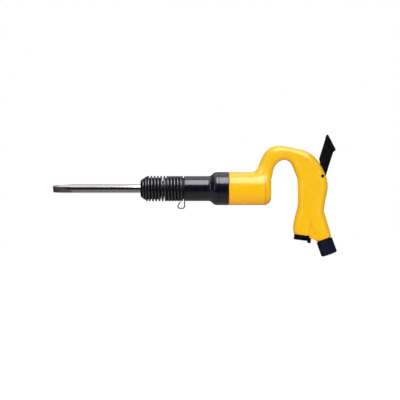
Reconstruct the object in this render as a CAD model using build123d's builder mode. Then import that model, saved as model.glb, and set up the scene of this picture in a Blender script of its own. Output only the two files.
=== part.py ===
from build123d import *
import os
from math import atan2, cos, degrees, radians, sin

# Pneumatic chipping hammer with a gooseneck handle, a thumb lever and a flat chisel.
# X runs along the hammer: the chisel points to -X and the grip is at +X. Z is up.
# The origin is on the hammer's axis, in the mouth of the chisel socket. Sizes are in millimetres.

# Clearances
running_gap = 0.05  # on the radius of what slides or turns in a bore
seat_gap = 0.1  # between faces that are clamped, screwed or pressed home
free_gap = 0.3  # between pieces that pass each other
edge_break = 0.8  # chamfer on turned edges

# Travel of the moving pieces
chisel_travel = 7.0
retainer_travel = 4.0
piston_stroke = 39.0
distributor_travel = 1.5
lever_throw = 8.0  # degrees

# Chisel
shank_flats = 14.7
shank_length = 60.0
shank_chamfer = 1.0
collar_diameter = 24.4
collar_length = 8.2
collar_chamfer = 1.0
bar_diameter = 14.3
bar_length = 170.0
blade_length = 38.0
blade_thickness = 4.6  # where the edge bevel starts
bevel_length = 5.0
edge_thickness = 1.0
blade_roll = 45.0  # degrees about the bar, from level
blade_offset = 1.4  # from the bar's axis towards the near flat
blade_hollow = 150.0  # radius of the hollow ground flats

# Nozzle bush
nozzle_diameter = 26.0
nozzle_length = 52.0
nozzle_reach = 12.4  # how far it stands out of the barrel
socket_play = 0.3  # across the flats of the chisel socket

# Retainer cup and spring
cup_reach = 29.5  # from the socket mouth forward
cup_overlap = 1.1  # over the bush when the cup is drawn forward
cup_nose_diameter = 27.7
cup_rim_diameter = 41.8
cup_cone_length = 10.8
cup_rim_length = 1.5
wire_diameter = 3.2
coil_diameter = 40.4  # at the middle of the wire
coil_pitch = 5.5
coil_turns = 10.45
coil_start_angle = 90.0  # from the top towards the near side
coil_runs = 20  # short runs that make one turn
wire_sides = 8

# Lock wire
lock_wire_diameter = 1.8
lock_loop_drop = 33.6  # from the axis to the bottom of the loop
lock_loop_length = 17.8
lock_loop_radius = 3.2
lock_loop_end = 4.6  # from the ring forward to the loose end
lock_loop_offset = 0.45  # from the middle plane to the loop

# Barrel and lock ring
barrel_diameter = 42.4
barrel_plain_length = 39.0
flare_length = 15.0
flange_length = 3.0
barrel_thread_diameter = 49.0
barrel_spigot_length = 27.4  # inside the handle's head
piston_bore = 22.0
lock_ring_length = 17.2
lock_ring_wall = 3.7  # over the barrel's thread

# Piston and valve gear
piston_chamfer = 1.2
piston_nose_diameter = 16.0
piston_nose_length = 6.0
chest_length = 13.8
distributor_diameter = 20.0
distributor_thickness = 2.5
air_port_diameter = 8.0
air_hole_diameter = 2.4
air_hole_circle_diameter = 14.0
air_holes = 6
cover_length = 6.0
dowel_diameter = 4.0
dowel_circle_diameter = 36.0
dowel_depth = 7.0  # into the barrel
seal_length = 3.6
seal_inner_diameter = 36.0

# Handle head and gooseneck
head_inset = 0.15  # on the radius, under the lock ring
head_floor = 20.4
head_round = 12.0
head_edge_round = 1.0
finger_gap = 45.6
gap_centre_height = 12.8
neck_foot_angle = 180.0
neck_foot_inset = 3.0  # from the head's rear face forward to the neck's inner side
neck_foot_depth = 28.0
neck_foot_width = 36.0
neck_blend = 12.0
neck_root_angle = 160.0
neck_root_reach = 22.6
neck_root_depth = 28.4
neck_root_width = 37.0
neck_angle = 139.0
neck_reach = 25.8
neck_depth = 27.6
bend_angle = 117.0
bend_reach = 31.5
bend_depth = 29.4
crown_angle = 90.0
crown_reach = 35.9
crown_depth = 23.3
shoulder_angle = 60.0
shoulder_reach = 28.2
shoulder_depth = 32.8
heel_angle = 30.0
heel_reach = 22.3
heel_depth = 43.9
palm_angle = 0.0
palm_reach = 22.2
palm_depth = 50.2
neck_width = 31.0
crown_width = 28.0
grip_width = 34.0
corner_share = 0.34  # corner radius of a section, as a share of its smaller side
bend_corner_share = 0.47  # where the gooseneck is nearly oval
shoulder_corner_share = 0.42

# Grip and its two legs
palm_low_height = 1.0
palm_low_depth = 50.4
waist_height = -32.0
waist_depth = 44.6
tail_height = -50.0
tail_inset = 6.0
tail_depth = 34.0
tail_width = 24.0
exhaust_root_height = -14.0
exhaust_root_inset = 0.6
exhaust_root_depth = 30.0
exhaust_hip_height = -40.0
exhaust_hip_reach = 3.1  # ahead of the grip's front
exhaust_hip_depth = 32.0
exhaust_knee_height = -57.0
exhaust_knee_reach = 7.2
exhaust_knee_depth = 34.0
exhaust_knee_width = 30.6
exhaust_tilt = 7.0
exhaust_drop = 79.1  # the leg's face below the axis
exhaust_setback = 8.5  # the leg's axis behind the grip's front
exhaust_leg_diameter = 29.6
exhaust_bore = 21.0
exhaust_depth = 22.0
inlet_root_rise = 66.0
inlet_root_depth = 36.0
inlet_hip_rise = 36.0
inlet_hip_diameter = 31.0
inlet_knee_rise = 18.0
inlet_knee_diameter = 29.4
inlet_tilt = 20.0
inlet_drop = 85.9
inlet_setback = 44.3
inlet_leg_diameter = 26.2
leg_root_width = 33.4
leg_hip_width = 33.2
leg_corner_share = 0.42
leg_end_corner_share = 0.49
web_width = 22.0
web_rise = 3.0
web_corner = 2.0
web_sag = 6.8  # below the middle of the two leg faces

# Throttle lever and its pin, with places from the pivot
pivot_setback = 41.2  # behind the grip's front
pivot_height = 21.0
pin_diameter = 5.3
pin_length = 30.0
pin_chamfer = 0.5
lever_hub_diameter = 12.0
lever_width = 12.0
lever_tip = (8.5, 72.6)
pad_heel = (23.2, 44.5)
pad_notch = (18.6, 40.6)
pad_front = (5.6, 64.5)
stem_back = (11.6, 19.0)
stem_front = (-5.0, 29.2)
stem_foot = (-3.2, 22.3)
pad_width = 22.0
pad_round = 1.6
lever_nose_radius = 3.5
lever_slot_gap = 0.8
stem_top_rise = 96.0  # along the inlet's axis, from the leg's face

# Throttle valve, seat and inlet
inlet_bore = 18.0
inlet_bore_depth = 36.0
seat_diameter = 15.0
seat_length = 10.0
seat_rise = 50.0
seat_bore = 9.2
stem_diameter = 5.0
poppet_diameter = 12.6
poppet_length = 4.0
gland_diameter = 10.0
gland_depth = 3.4
throttle_wire = 1.3
throttle_wire_sides = 6
throttle_coil_diameter = 13.0
throttle_turns = 6.0
throttle_runs = 14
inlet_hex = 25.0
inlet_hex_length = 26.0
inlet_hex_turn = 11.0
inlet_thread_bore = 15.0
inlet_thread_depth = 18.0
inlet_spigot_length = 14.0
inlet_port = 11.0
inlet_hex_chamfer = 1.6
inlet_seal_thickness = 1.4
inlet_seal_diameter = 23.0
strainer_flange = 1.2
strainer_diameter = 10.6
strainer_length = 14.0
strainer_wall = 0.8
strainer_slot = 1.6
strainer_slots = 8
strainer_margin = 1.6  # from the slots to the flange and to the end

# Exhaust deflector
deflector_thickness = 8.8
deflector_spigot_length = 8.0
deflector_wall = 2.6
deflector_floor = 2.8
deflector_window_width = 6.0
deflector_windows = 3
deflector_window_step = 38.0  # degrees
lip_length = 5.4
lip_width = 14.0
lip_drop = 3.4

# Places along the axis, from the cup to the back of the head
cup_floor_x = -(seat_gap + collar_length + chisel_travel + free_gap)
cup_seat_x = -cup_reach + cup_cone_length + cup_rim_length
cup_skirt_x = retainer_travel + cup_overlap
coil_start_x = cup_seat_x + wire_diameter / 2 + free_gap
coil_end_x = coil_start_x + coil_pitch * coil_turns
ledge_x = coil_end_x + wire_diameter / 2 + free_gap
plain_x = ledge_x + lock_wire_diameter + 2 * seat_gap
flare_x = plain_x + barrel_plain_length
flange_x = flare_x + flare_length
lock_ring_x = flange_x + flange_length + seat_gap
head_x = lock_ring_x + lock_ring_length + seat_gap
barrel_rear_x = head_x + barrel_spigot_length
chest_x = barrel_rear_x + seat_gap
cover_x = chest_x + chest_length + seat_gap
seal_x = cover_x + cover_length + seat_gap
head_floor_x = seal_x + seal_length + seat_gap
head_rear_x = head_floor_x + head_floor
piston_x = shank_length - seat_gap + free_gap
piston_length = barrel_rear_x - free_gap - piston_stroke - piston_x

# Radii and diameters that more than one piece uses
flange_diameter = barrel_thread_diameter + 2 * lock_ring_wall
head_diameter = flange_diameter - 2 * head_inset
coil_seat_radius = (coil_diameter - wire_diameter) / 2 - free_gap
ledge_radius = barrel_diameter / 2 - lock_wire_diameter
head_bore_radius = barrel_thread_diameter / 2 + seat_gap
valve_stack_radius = barrel_thread_diameter / 2 - seat_gap
chest_pocket = distributor_thickness + distributor_travel + free_gap

# Places in the handle
gap_centre = Vector(head_rear_x + finger_gap / 2, 0, gap_centre_height)
grip_front_x = head_rear_x + finger_gap
pivot = Vector(grip_front_x + pivot_setback, 0, pivot_height)
inlet_up = Vector(-sin(radians(inlet_tilt)), 0, cos(radians(inlet_tilt)))
inlet_face = Vector(grip_front_x + inlet_setback, 0, -inlet_drop)
inlet_plane = Plane(origin=inlet_face, x_dir=(0, 1, 0), z_dir=inlet_up)
inlet_axis = Axis(inlet_face, inlet_up)
exhaust_up = Vector(sin(radians(exhaust_tilt)), 0, cos(radians(exhaust_tilt)))
exhaust_face = Vector(grip_front_x + exhaust_setback, 0, -exhaust_drop)
exhaust_plane = Plane(origin=exhaust_face, x_dir=(0, 1, 0), z_dir=exhaust_up)
stem_top = inlet_face + inlet_up * stem_top_rise
nose_centre = stem_top + inlet_up * (lever_nose_radius + running_gap)


def coil_planes(start, up, turn_diameter, pitch, turns, runs, start_angle):
    """Planes across a right-hand wire coil: a ruled loft over them is made of short straight runs."""
    path = Helix(pitch, pitch * turns, turn_diameter / 2, start, up, mode=Mode.PRIVATE)
    path = path.rotate(Axis(start, up), start_angle)
    count = round(runs * turns)
    planes = []
    for step in range(count + 1):
        point = path @ (step / count)
        outwards = point - start - up * (point - start).dot(up)
        planes.append(Plane(origin=point, x_dir=outwards, z_dir=path % (step / count)))
    return planes


def neck_plane(angle, reach, depth):
    """Plane across the gooseneck: these planes fan round the finger gap's centre."""
    away = Vector(cos(radians(angle)), 0, sin(radians(angle)))
    along = Vector(sin(radians(angle)), 0, -cos(radians(angle)))
    return Plane(origin=gap_centre + away * (reach + depth / 2), x_dir=away, z_dir=along)


def level_plane(front, height, depth):
    """Level plane across the grip or a leg, by the section's front edge."""
    return Plane(origin=(front + depth / 2, 0, height), x_dir=(1, 0, 0), z_dir=(0, 0, -1))


def leg_plane(face, up, rise):
    """Plane across a leg, at a height above its end face."""
    return Plane(origin=face + up * rise, x_dir=(up.Z, 0, -up.X), z_dir=-up)


def from_pivot(place):
    """Point of the lever, from its setback and height from the pivot."""
    return pivot + Vector(place[0], 0, place[1])


def swung(point):
    """Where a point of the lever comes to when the lever is pressed home."""
    return pivot + (point - pivot).rotate(Axis.Y, -lever_throw)


nose_pressed = swung(nose_centre)

# Chisel: hexagonal shank, collar, round bar and a hollow ground blade
with BuildPart() as chisel:
    edge_x = -(seat_gap + collar_length + bar_length)
    with BuildSketch(Plane.YZ.offset(edge_x)):
        Circle(bar_diameter / 2)
    extrude(amount=bar_length)
    with BuildSketch(Plane.YZ.offset(-seat_gap - collar_length)):
        Circle(collar_diameter / 2)
    extrude(amount=collar_length)
    chamfer(chisel.edges().filter_by(GeomType.CIRCLE).group_by(Axis.X)[-1], collar_chamfer)
    with BuildSketch(Plane.YZ.offset(-seat_gap)):
        RegularPolygon(shank_flats / 2, 6, major_radius=False)
    extrude(amount=shank_length)
    chamfer(chisel.faces().sort_by(Axis.X)[-1].edges(), shank_chamfer)
    roll = radians(blade_roll)
    blade_middle = Vector(edge_x, -blade_offset * cos(roll), -blade_offset * sin(roll))
    with BuildSketch(Plane(origin=blade_middle, x_dir=(1, 0, 0), z_dir=(0, sin(roll), -cos(roll)))):
        with BuildLine():
            bevel = Polyline(
                (-edge_thickness, bar_diameter),
                (-edge_thickness, edge_thickness / 2),
                (0, edge_thickness / 2),
                (bevel_length, blade_thickness / 2),
            )
            hollow = RadiusArc(bevel @ 1, (blade_length, bar_diameter / 2), -blade_hollow)
            Polyline(hollow @ 1, (blade_length, bar_diameter), bevel @ 0)
        make_face()
        mirror(about=Plane.XZ)
    extrude(amount=bar_diameter, both=True, mode=Mode.SUBTRACT)

# Retainer cup: conical nose, rim for the first coil and a seat for the coils behind it
with BuildPart() as retainer_cup:
    cup_hole = bar_diameter / 2 + free_gap
    cup_bore = nozzle_diameter / 2 + free_gap
    with BuildSketch(Plane.XZ):
        with BuildLine():
            Polyline(
                (-cup_reach, cup_hole),
                (-cup_reach, cup_nose_diameter / 2),
                (cup_seat_x - cup_rim_length, cup_rim_diameter / 2),
                (cup_seat_x, cup_rim_diameter / 2),
                (cup_seat_x, coil_seat_radius),
                (cup_skirt_x, coil_seat_radius),
                (cup_skirt_x, cup_bore),
                (cup_floor_x, cup_bore),
                (cup_floor_x, cup_hole),
                close=True,
            )
        make_face()
    revolve(axis=Axis.X)
    chamfer(retainer_cup.edges().filter_by(GeomType.CIRCLE).group_by(Axis.X)[0], edge_break)
    chamfer(retainer_cup.edges().filter_by(GeomType.CIRCLE).group_by(Axis.X)[-1], edge_break)

# Retainer spring: right-hand coil from the cup to the barrel's nose
with BuildPart() as retainer_spring:
    spring_start = Vector(coil_start_x, 0, 0)
    for plane in coil_planes(
        spring_start, Vector(1, 0, 0), coil_diameter, coil_pitch, coil_turns, coil_runs, coil_start_angle
    ):
        with BuildSketch(plane):
            RegularPolygon(wire_diameter / 2, wire_sides)
    loft(ruled=True)

# Lock wire: ring on the barrel's ledge, with a finger loop that ends under the last coil
with BuildPart() as lock_wire:
    ring_radius = ledge_radius + seat_gap + lock_wire_diameter / 2
    ring_x = ledge_x + seat_gap + lock_wire_diameter / 2
    loop_end_drop = (coil_diameter + wire_diameter) / 2 + free_gap + lock_wire_diameter
    with BuildSketch(Plane.XZ):
        with Locations((ring_x, ring_radius)):
            RegularPolygon(lock_wire_diameter / 2, wire_sides)
    revolve(axis=Axis.X)
    with BuildLine(Plane.XZ.offset(lock_loop_offset)) as loop:
        FilletPolyline(
            (ring_x, -ring_radius),
            (ring_x, -lock_loop_drop),
            (ring_x - lock_loop_length, -lock_loop_drop),
            (ring_x - lock_loop_end, -loop_end_drop),
            radius=lock_loop_radius,
        )
    with BuildSketch(Plane(origin=loop.line @ 0, z_dir=loop.line % 0)):
        RegularPolygon(lock_wire_diameter / 2, wire_sides)
    sweep(path=loop.line)

# Nozzle bush: hexagonal socket for the shank
with BuildPart() as nozzle_bush:
    with BuildSketch(Plane.YZ):
        Circle(nozzle_diameter / 2)
        RegularPolygon((shank_flats + socket_play) / 2, 6, major_radius=False, mode=Mode.SUBTRACT)
    extrude(amount=nozzle_length)
    chamfer(nozzle_bush.edges().filter_by(GeomType.CIRCLE), edge_break)

# Barrel: seat for the coils, ledge for the lock wire, plain grip, flare, flange and thread
with BuildPart() as barrel:
    flare_rise = (flange_diameter - barrel_diameter) / 2
    flare_angle = 2 * atan2(flare_rise, flare_length)
    flare_radius = flare_length / (2 * sin(flare_angle))
    nozzle_seat = nozzle_diameter / 2 + running_gap
    with BuildSketch(Plane.XZ):
        with BuildLine():
            nose = Polyline(
                (nozzle_reach, nozzle_seat),
                (nozzle_reach, coil_seat_radius),
                (ledge_x, coil_seat_radius),
                (ledge_x, ledge_radius),
                (plain_x, ledge_radius),
                (plain_x, barrel_diameter / 2),
                (flare_x, barrel_diameter / 2),
            )
            cove = JernArc(nose @ 1, (1, 0), flare_radius, degrees(flare_angle))
            swell = JernArc(cove @ 1, cove % 1, flare_radius, -degrees(flare_angle))
            Polyline(
                swell @ 1,
                (flange_x + flange_length, flange_diameter / 2),
                (flange_x + flange_length, barrel_thread_diameter / 2),
                (barrel_rear_x, barrel_thread_diameter / 2),
                (barrel_rear_x, piston_bore / 2),
                (nozzle_length, piston_bore / 2),
                (nozzle_length, nozzle_seat),
                nose @ 0,
            )
        make_face()
    revolve(axis=Axis.X)
    nose_edges = barrel.edges().filter_by(GeomType.CIRCLE).group_by(Axis.X)[0]
    chamfer(nose_edges.sort_by(SortBy.RADIUS)[-1], edge_break)
    with BuildSketch(Plane.YZ.offset(barrel_rear_x)):
        with PolarLocations(dowel_circle_diameter / 2, 2):
            Circle(dowel_diameter / 2 + running_gap)
    extrude(amount=-dowel_depth, mode=Mode.SUBTRACT)

# Lock ring: ring nut on the barrel's thread, tight against the head
with BuildPart() as lock_ring:
    with BuildSketch(Plane.YZ.offset(lock_ring_x)):
        Circle(flange_diameter / 2)
        Circle(barrel_thread_diameter / 2 + seat_gap, mode=Mode.SUBTRACT)
    extrude(amount=lock_ring_length)
    outer_edges = lock_ring.edges().filter_by(GeomType.CIRCLE).sort_by(SortBy.RADIUS)[-2:]
    chamfer(outer_edges, edge_break)

# Piston: solid hammer with a smaller striking nose
with BuildPart() as piston:
    with BuildSketch(Plane.YZ.offset(piston_x)):
        Circle(piston_nose_diameter / 2)
    extrude(amount=piston_nose_length)
    with BuildSketch(Plane.YZ.offset(piston_x + piston_nose_length)):
        Circle(piston_bore / 2 - running_gap)
    extrude(amount=piston_length - piston_nose_length)
    chamfer(piston.edges().filter_by(GeomType.CIRCLE).group_by(Axis.X)[-1], piston_chamfer)
    chamfer(piston.edges().filter_by(GeomType.CIRCLE).group_by(Axis.X)[0], piston_chamfer)

# Valve chest: block with the distributor's pocket, an air port and dowel holes
with BuildPart() as valve_chest:
    with BuildSketch(Plane.YZ.offset(chest_x)):
        Circle(valve_stack_radius)
        Circle(air_port_diameter / 2, mode=Mode.SUBTRACT)
        with PolarLocations(dowel_circle_diameter / 2, 2):
            Circle(dowel_diameter / 2 + running_gap, mode=Mode.SUBTRACT)
    extrude(amount=chest_length)
    with BuildSketch(Plane.YZ.offset(chest_x + chest_length)):
        Circle(distributor_diameter / 2 + running_gap)
    extrude(amount=-chest_pocket, mode=Mode.SUBTRACT)

# Distributor valve: plate with a ring of air holes
with BuildPart() as distributor_valve:
    with BuildSketch(Plane.YZ.offset(chest_x + chest_length - chest_pocket + free_gap / 2)):
        Circle(distributor_diameter / 2)
        with PolarLocations(air_hole_circle_diameter / 2, air_holes):
            Circle(air_hole_diameter / 2, mode=Mode.SUBTRACT)
    extrude(amount=distributor_thickness)

# Valve cover: plate over the chest, with the live air port
with BuildPart() as valve_cover:
    with BuildSketch(Plane.YZ.offset(cover_x)):
        Circle(valve_stack_radius)
        Circle(air_port_diameter / 2, mode=Mode.SUBTRACT)
        with PolarLocations(dowel_circle_diameter / 2, 2):
            Circle(dowel_diameter / 2 + running_gap, mode=Mode.SUBTRACT)
    extrude(amount=cover_length)

# Valve dowels: two pins through cover and chest into the barrel
with BuildPart() as valve_dowels:
    dowel_start_x = barrel_rear_x - dowel_depth + seat_gap
    with BuildSketch(Plane.YZ.offset(dowel_start_x)):
        with PolarLocations(dowel_circle_diameter / 2, 2):
            Circle(dowel_diameter / 2)
    extrude(amount=cover_x + cover_length - seat_gap - dowel_start_x)

# Head seal: rubber ring squeezed between the cover and the head's floor
with BuildPart() as head_seal:
    with BuildSketch(Plane.YZ.offset(seal_x)):
        Circle(valve_stack_radius)
        Circle(seal_inner_diameter / 2, mode=Mode.SUBTRACT)
    extrude(amount=seal_length)

# Handle: head, gooseneck, grip and two legs cast in one, with the lever's slot and the throttle's bores
with BuildPart() as handle:
    with BuildSketch(Plane.XZ):
        with BuildLine():
            outline = FilletPolyline(
                (head_x, 0),
                (head_x, head_diameter / 2),
                (head_rear_x, head_diameter / 2),
                (head_rear_x, 0),
                radius=(head_edge_round, head_round),
            )
            Line(outline @ 1, outline @ 0)
        make_face()
    revolve(axis=Axis.X)
    neck_foot_reach = finger_gap / 2 + neck_foot_inset
    neck_sections = [
        (neck_foot_angle, neck_foot_reach, neck_foot_depth, neck_foot_width, corner_share),
        (neck_root_angle, neck_root_reach, neck_root_depth, neck_root_width, corner_share),
        (neck_angle, neck_reach, neck_depth, neck_width, bend_corner_share),
        (bend_angle, bend_reach, bend_depth, neck_width, bend_corner_share),
        (crown_angle, crown_reach, crown_depth, crown_width, bend_corner_share),
        (shoulder_angle, shoulder_reach, shoulder_depth, crown_width, shoulder_corner_share),
        (heel_angle, heel_reach, heel_depth, grip_width, corner_share),
        (palm_angle, palm_reach, palm_depth, grip_width, corner_share),
    ]
    for angle, reach, depth, width, share in neck_sections:
        with BuildSketch(neck_plane(angle, reach, depth)):
            RectangleRounded(depth, width, share * min(depth, width))
    grip_sections = [
        (grip_front_x, palm_low_height, palm_low_depth, grip_width),
        (grip_front_x, waist_height, waist_depth, grip_width),
        (grip_front_x + tail_inset, tail_height, tail_depth, tail_width),
    ]
    for front, height, depth, width in grip_sections:
        with BuildSketch(level_plane(front, height, depth)):
            RectangleRounded(depth, width, corner_share * min(depth, width))
    loft()
    fillet(handle.edges(Select.NEW), neck_blend)
    exhaust_root = level_plane(grip_front_x + exhaust_root_inset, exhaust_root_height, exhaust_root_depth)
    exhaust_hip = level_plane(grip_front_x - exhaust_hip_reach, exhaust_hip_height, exhaust_hip_depth)
    exhaust_knee = level_plane(grip_front_x - exhaust_knee_reach, exhaust_knee_height, exhaust_knee_depth)
    exhaust_end = leg_plane(exhaust_face, exhaust_up, 0)
    exhaust_sections = [
        (exhaust_root, exhaust_root_depth, leg_root_width, corner_share),
        (exhaust_hip, exhaust_hip_depth, leg_hip_width, leg_corner_share),
        (exhaust_knee, exhaust_knee_depth, exhaust_knee_width, leg_corner_share),
        (exhaust_end, exhaust_leg_diameter, exhaust_leg_diameter, leg_end_corner_share),
    ]
    for plane, depth, width, share in exhaust_sections:
        with BuildSketch(plane):
            RectangleRounded(depth, width, share * min(depth, width))
    loft()
    inlet_root = leg_plane(inlet_face, inlet_up, inlet_root_rise)
    inlet_hip = leg_plane(inlet_face, inlet_up, inlet_hip_rise)
    inlet_knee = leg_plane(inlet_face, inlet_up, inlet_knee_rise)
    inlet_end = leg_plane(inlet_face, inlet_up, 0)
    inlet_sections = [
        (inlet_root, inlet_root_depth, leg_root_width, corner_share),
        (inlet_hip, inlet_hip_diameter, leg_hip_width, leg_corner_share),
        (inlet_knee, inlet_knee_diameter, inlet_knee_diameter, leg_corner_share),
        (inlet_end, inlet_leg_diameter, inlet_leg_diameter, leg_end_corner_share),
    ]
    for plane, depth, width, share in inlet_sections:
        with BuildSketch(plane):
            RectangleRounded(depth, width, share * min(depth, width))
    loft()
    web_foot = (exhaust_face + inlet_face) / 2
    with BuildSketch(Plane.XZ):
        with BuildLine():
            FilletPolyline(
                (exhaust_face.X, waist_height),
                (inlet_face.X - inlet_leg_diameter / 2, waist_height),
                (inlet_face.X, web_foot.Z + web_rise),
                (web_foot.X + web_sag, web_foot.Z - web_sag),
                (exhaust_face.X, web_foot.Z + web_rise),
                radius=web_corner,
                close=True,
            )
        make_face()
    extrude(amount=web_width / 2, both=True)
    with BuildSketch(Plane.YZ.offset(head_x)):
        Circle(head_bore_radius)
    extrude(amount=head_floor_x - head_x, mode=Mode.SUBTRACT)
    inlet_steps = [
        (inlet_bore / 2, inlet_bore_depth),
        (seat_diameter / 2, seat_rise + seat_length),
        (gland_diameter / 2, seat_rise + seat_length + gland_depth),
        (stem_diameter / 2 + running_gap, stem_top_rise),
    ]
    for radius, rise in inlet_steps:
        with BuildSketch(inlet_plane):
            Circle(radius)
        extrude(amount=rise, mode=Mode.SUBTRACT)
    with BuildSketch(exhaust_plane):
        Circle(exhaust_bore / 2)
    extrude(amount=exhaust_depth, mode=Mode.SUBTRACT)
    with BuildSketch(exhaust_plane):
        Circle(exhaust_leg_diameter / 2 + free_gap)
    extrude(amount=-deflector_thickness - lip_drop - free_gap, mode=Mode.SUBTRACT)
    with BuildSketch(Plane.XZ):
        with Locations((pivot.X, pivot.Z)):
            Circle(lever_hub_diameter / 2 + lever_slot_gap)
        with Locations((nose_centre.X, nose_centre.Z), (nose_pressed.X, nose_pressed.Z)):
            Circle(lever_nose_radius + lever_slot_gap)
        make_hull()
    extrude(amount=lever_width / 2 + lever_slot_gap, both=True, mode=Mode.SUBTRACT)
    slot_front_x = swung(from_pivot(stem_front)).X - lever_slot_gap
    slot_floor_z = pivot.Z - lever_hub_diameter / 2 - lever_slot_gap
    with BuildSketch(Plane.XZ):
        with BuildLine():
            Polyline(
                (slot_front_x, from_pivot(lever_tip).Z),
                (slot_front_x, pivot.Z),
                (pivot.X, slot_floor_z),
                (from_pivot(pad_heel).X, slot_floor_z),
                (from_pivot(pad_heel).X, from_pivot(lever_tip).Z),
                close=True,
            )
        make_face()
    extrude(amount=lever_width / 2 + lever_slot_gap, both=True, mode=Mode.SUBTRACT)
    with BuildSketch(Plane.XZ):
        with Locations((pivot.X, pivot.Z)):
            Circle(pin_diameter / 2 + running_gap / 2)
    extrude(amount=grip_width, both=True, mode=Mode.SUBTRACT)

# Throttle lever: stem and thumb pad above the pivot, and an arm that reaches forward to the valve's stem
with BuildPart() as throttle_lever:
    with BuildSketch(Plane.XZ):
        with BuildLine():
            pad_points = [from_pivot(place) for place in (lever_tip, pad_heel, pad_notch, pad_front)]
            FilletPolyline([(point.X, point.Z) for point in pad_points], radius=pad_round, close=True)
        make_face()
    extrude(amount=pad_width / 2, both=True)
    fillet(throttle_lever.faces().filter_by(Axis.Y).edges(), pad_round)
    with BuildSketch(Plane.XZ):
        with BuildLine():
            stem_points = [from_pivot(place) for place in (lever_tip, pad_heel, pad_notch, stem_back)]
            stem_points.append(pivot + Vector(lever_hub_diameter / 2, 0, 0))
            stem_points.append(pivot - Vector(lever_hub_diameter / 2, 0, 0))
            stem_points += [from_pivot(place) for place in (stem_foot, stem_front)]
            FilletPolyline([(point.X, point.Z) for point in stem_points], radius=pad_round, close=True)
        make_face()
    extrude(amount=lever_width / 2, both=True)
    with BuildSketch(Plane.XZ):
        with Locations((pivot.X, pivot.Z)):
            Circle(lever_hub_diameter / 2)
        with Locations((nose_centre.X, nose_centre.Z)):
            Circle(lever_nose_radius)
        make_hull()
    extrude(amount=lever_width / 2, both=True)
    with BuildSketch(Plane.XZ):
        with Locations((pivot.X, pivot.Z)):
            Circle(pin_diameter / 2 + running_gap)
    extrude(amount=lever_width, both=True, mode=Mode.SUBTRACT)

# Lever pin: plain pin through both cheeks of the slot, driven in a little below the grip's sides
with BuildPart() as lever_pin:
    with BuildSketch(Plane.XZ):
        with Locations((pivot.X, pivot.Z)):
            Circle(pin_diameter / 2)
    extrude(amount=pin_length / 2, both=True)
    chamfer(lever_pin.faces().filter_by(Axis.Y).edges(), pin_chamfer)

# Throttle seat: bush at the end of the inlet's bore
with BuildPart() as throttle_seat:
    with BuildSketch(inlet_plane.offset(seat_rise)):
        Circle(seat_diameter / 2 - running_gap)
        Circle(seat_bore / 2, mode=Mode.SUBTRACT)
    extrude(amount=seat_length - seat_gap)

# Throttle valve: poppet below the seat, with a stem up to the lever's nose
with BuildPart() as throttle_valve:
    with BuildSketch(inlet_plane.offset(seat_rise - seat_gap - poppet_length)):
        Circle(poppet_diameter / 2)
    extrude(amount=poppet_length)
    with BuildSketch(inlet_plane.offset(seat_rise - seat_gap)):
        Circle(stem_diameter / 2)
    extrude(amount=stem_top_rise - seat_rise + seat_gap)

# Stem seal: rubber ring in the gland above the seat
with BuildPart() as stem_seal:
    with BuildSketch(inlet_plane.offset(seat_rise + seat_length)):
        Circle(gland_diameter / 2 - running_gap)
        Circle(stem_diameter / 2 + running_gap, mode=Mode.SUBTRACT)
    extrude(amount=gland_depth - seat_gap)

# Inlet bushing: hexagon with a pipe thread, and a spigot screwed into the leg
with BuildPart() as inlet_bushing:
    hex_top = -inlet_seal_thickness - 2 * seat_gap
    hex_end = hex_top - inlet_hex_length
    with BuildSketch(inlet_plane.offset(hex_end)):
        RegularPolygon(inlet_hex / 2, 6, major_radius=False, rotation=inlet_hex_turn)
    extrude(amount=inlet_hex_length)
    chamfer(inlet_bushing.faces().sort_by(inlet_axis)[0].edges(), inlet_hex_chamfer)
    with BuildSketch(inlet_plane.offset(hex_top)):
        Circle(inlet_bore / 2 - seat_gap)
    extrude(amount=inlet_spigot_length - hex_top)
    with BuildSketch(inlet_plane.offset(hex_end)):
        Circle(inlet_thread_bore / 2)
    extrude(amount=inlet_thread_depth, mode=Mode.SUBTRACT)
    with BuildSketch(inlet_plane.offset(hex_end)):
        Circle(inlet_port / 2)
    extrude(amount=inlet_spigot_length - hex_end, mode=Mode.SUBTRACT)

# Inlet seal: washer between the hexagon and the leg
with BuildPart() as inlet_seal:
    with BuildSketch(inlet_plane.offset(-seat_gap - inlet_seal_thickness)):
        Circle(inlet_seal_diameter / 2)
        Circle(inlet_bore / 2 + seat_gap, mode=Mode.SUBTRACT)
    extrude(amount=inlet_seal_thickness)

# Inlet strainer: slotted basket with a flange that the spring holds on the spigot
with BuildPart() as inlet_strainer:
    flange_rise = inlet_spigot_length + seat_gap
    basket_rise = flange_rise + strainer_flange + strainer_length
    with BuildSketch(inlet_plane.offset(flange_rise)):
        Circle(inlet_bore / 2 - seat_gap)
    extrude(amount=strainer_flange)
    with BuildSketch(inlet_plane.offset(flange_rise)):
        Circle(strainer_diameter / 2)
    extrude(amount=basket_rise - flange_rise)
    with BuildSketch(inlet_plane.offset(flange_rise)):
        Circle(strainer_diameter / 2 - strainer_wall)
    extrude(amount=basket_rise - flange_rise - strainer_wall, mode=Mode.SUBTRACT)
    with BuildSketch(inlet_plane.offset(flange_rise + strainer_flange + strainer_margin)):
        with PolarLocations(strainer_diameter / 2, strainer_slots):
            Rectangle(2 * (strainer_wall + free_gap), strainer_slot)
    extrude(amount=strainer_length - 2 * strainer_margin, mode=Mode.SUBTRACT)

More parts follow.
